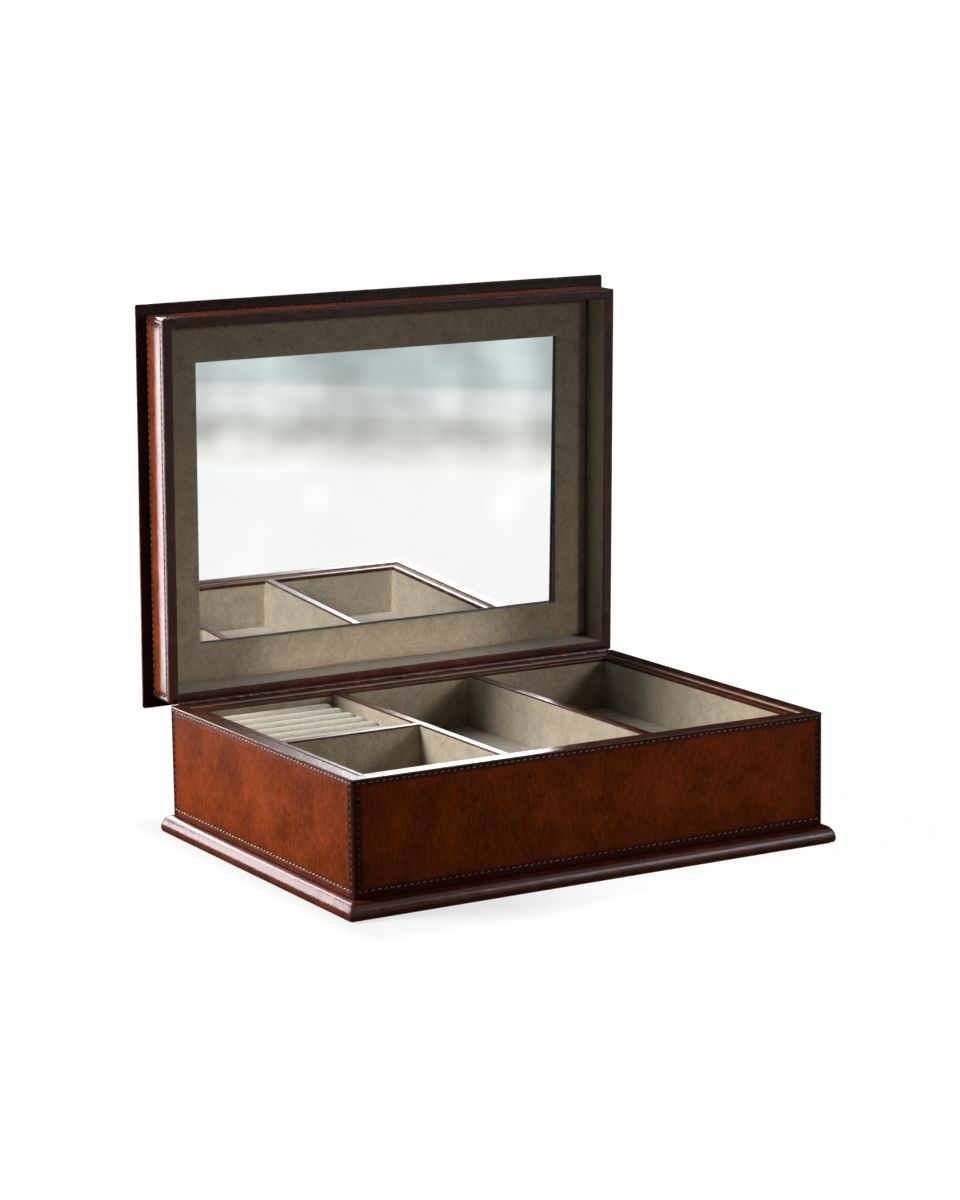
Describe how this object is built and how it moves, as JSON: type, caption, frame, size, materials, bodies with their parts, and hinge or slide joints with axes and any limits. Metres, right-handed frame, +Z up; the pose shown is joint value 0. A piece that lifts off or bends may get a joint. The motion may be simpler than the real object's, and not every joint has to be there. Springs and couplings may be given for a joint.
{
  "type": "leather ring and jewellery box with mirror lid",
  "caption": "Leather-covered wooden jewellery box on a moulded plinth, with a hinged mirror lid and a lift-out suede tray of open bays and ring rolls.",
  "frame": {"origin": "middle of the underside of the base felt, on the surface the box stands on", "axes": "+X along the box to its right end, +Y to the hinged back, +Z up"},
  "size_m": [0.2986, 0.2483, 0.2923],
  "materials": {
    "wood": "raw hardwood and board, hidden under leather and suede",
    "leather": "smooth polished leather, chestnut brown with darker burnished edges",
    "edge_leather": "dark burnished leather with a low gloss",
    "suede": "taupe suede, matt with a short nap",
    "felt": "dark brown felt",
    "mirror": "silvered mirror glass",
    "hinge_metal": "antique bronze finish"
  },
  "bodies": {
    "base": {"base_board": "wood", "carcass_front": "wood", "carcass_back": "wood", "carcass_ends": "wood", "tray_bearers": "wood", "panel_front": "leather", "panel_back": "leather", "panel_left": "leather", "panel_right": "leather", "plinth_long": "edge_leather", "plinth_ends": "edge_leather", "rim_front": "edge_leather", "rim_back": "edge_leather", "rim_ends": "edge_leather", "hinge_piping": "edge_leather", "base_lining": "suede", "lower_pad": "suede", "base_felt": "felt", "base_hinge_leaves": "hinge_metal", "hinge_pins": "hinge_metal", "base_hinge_screws": "hinge_metal"},
    "tray": {"tray_floor": "wood", "tray_walls_long": "wood", "tray_walls_ends": "wood", "tray_caps_long": "edge_leather", "tray_caps_ends": "edge_leather", "divider_left": "wood", "divider_right": "wood", "divider_cross": "wood", "divider_cap_left": "edge_leather", "divider_cap_right": "edge_leather", "divider_cap_cross": "edge_leather", "lining_ring_bay": "suede", "lining_front_left": "suede", "lining_middle": "suede", "lining_right": "suede", "pad_front_left": "suede", "pad_middle": "suede", "pad_right": "suede", "ring_bed": "suede", "ring_rolls": "suede"},
    "lid": {"lid_board": "wood", "lid_top_panel": "leather", "lid_mouldings_long": "edge_leather", "lid_mouldings_ends": "edge_leather", "lid_side_front": "wood", "lid_side_back": "wood", "lid_sides_ends": "wood", "lid_panel_front": "leather", "lid_panel_back": "leather", "lid_panels_ends": "leather", "lid_rim_front": "edge_leather", "lid_rim_back": "edge_leather", "lid_rim_ends": "edge_leather", "lid_lining": "suede", "mirror_board": "suede", "mirror_glass": "mirror", "lid_hinge_leaves": "hinge_metal", "lid_hinge_screws": "hinge_metal"}
  },
  "joints": [
    {"name": "lid_hinge", "type": "hinge", "parent": "base", "child": "lid", "pos_m": [0, 0.107, 0.0719], "axis": [1, 0, 0], "range_deg": [0, 88.35]},
    {"name": "tray_lift", "type": "slide", "parent": "base", "child": "tray", "axis": [0, 0, 1], "range_m": [0, 0.017]}
  ]
}
